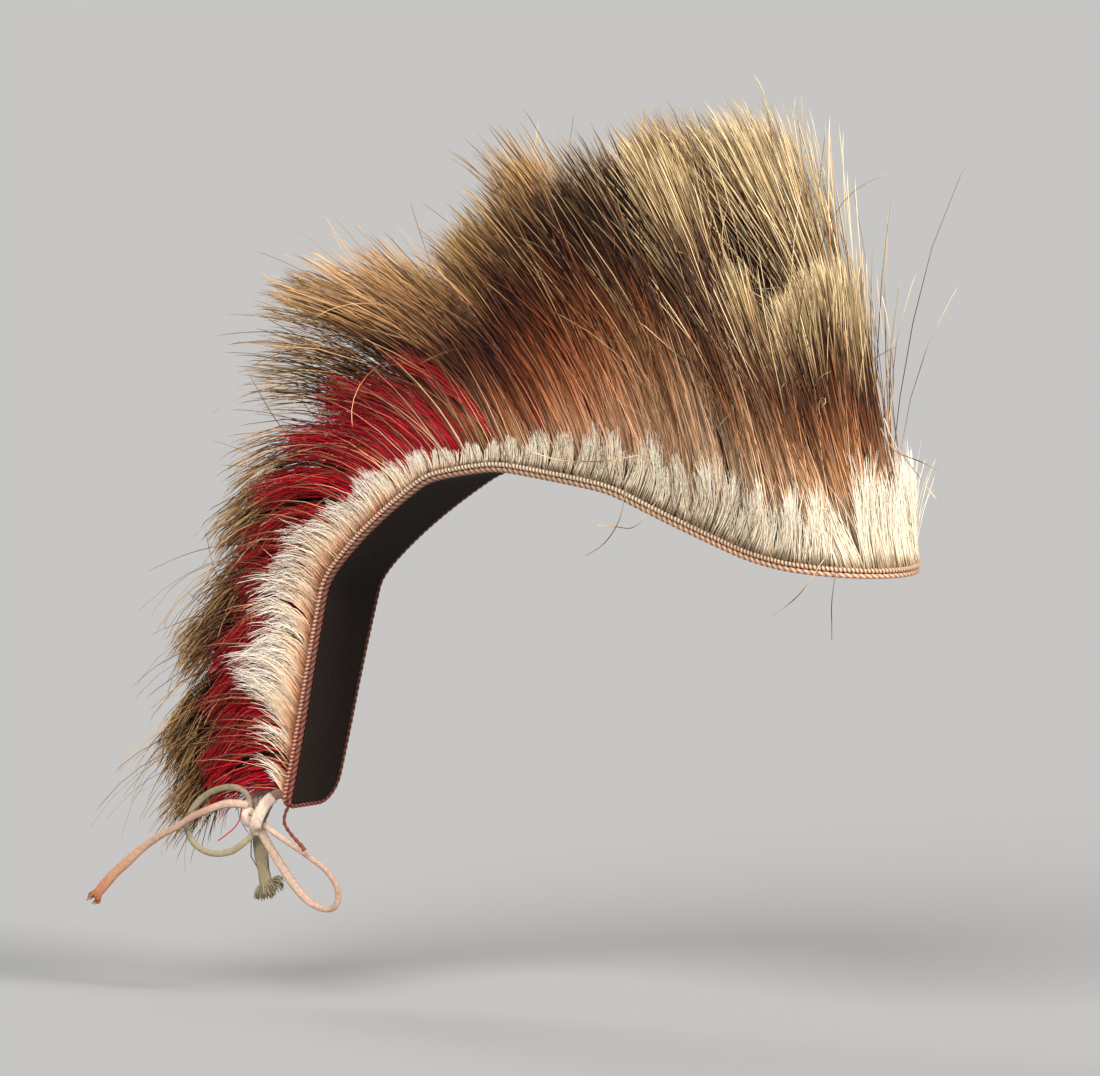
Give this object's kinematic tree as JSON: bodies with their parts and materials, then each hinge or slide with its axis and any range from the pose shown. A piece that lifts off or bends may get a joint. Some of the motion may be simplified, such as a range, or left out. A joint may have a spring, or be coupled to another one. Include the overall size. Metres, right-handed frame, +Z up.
{
  "type": "roach headdress",
  "caption": "Standing-hair roach headdress: long dark-tipped guard hair, a red row and a short white row on a teardrop woven strip with a corded rim, tied with a buckskin bow at the tail.",
  "frame": {"origin": "on the underside of the woven strip at the crown, in the middle plane, where the strip sits on top of the head", "axes": "+X towards the wearer's front, along the strip at the crown; +Y to the wearer's left; +Z up"},
  "size_m": [0.3052, 0.0663, 0.2739],
  "materials": {
    "woven_hair": "near-black brown woven hair, matte",
    "rim_cord": "tan cord over most of the rim, rust red along the tail",
    "deer_hair": "creamy white deer hair, pinkish at the roots near the tail",
    "guard_hair": "stiff guard hair with tan roots, near-black middle and cream tips",
    "red_hair": "crimson dyed hair",
    "buckskin": "pale pinkish buckskin lace, napped",
    "rust_cord": "rust-red twisted thread"
  },
  "bodies": {
    "root": {"base_mat": "woven_hair", "rim_cord_lower": "rim_cord", "rim_cord_upper": "rim_cord", "deer_hair_right": "deer_hair", "deer_hair_left": "deer_hair", "guard_hair_right": "guard_hair", "guard_hair_left": "guard_hair", "red_hair_front_right": "red_hair", "red_hair_front_left": "red_hair", "red_hair_tail_right": "red_hair", "red_hair_tail_left": "red_hair", "tie_knot": "buckskin", "tie_strap_right": "buckskin", "tie_strap_left": "buckskin", "bow_loop_back": "buckskin", "bow_loop_front": "buckskin", "lace_end_long": "buckskin", "lace_end_short": "buckskin", "binding_cord_end": "rust_cord"}
  },
  "joints": []
}
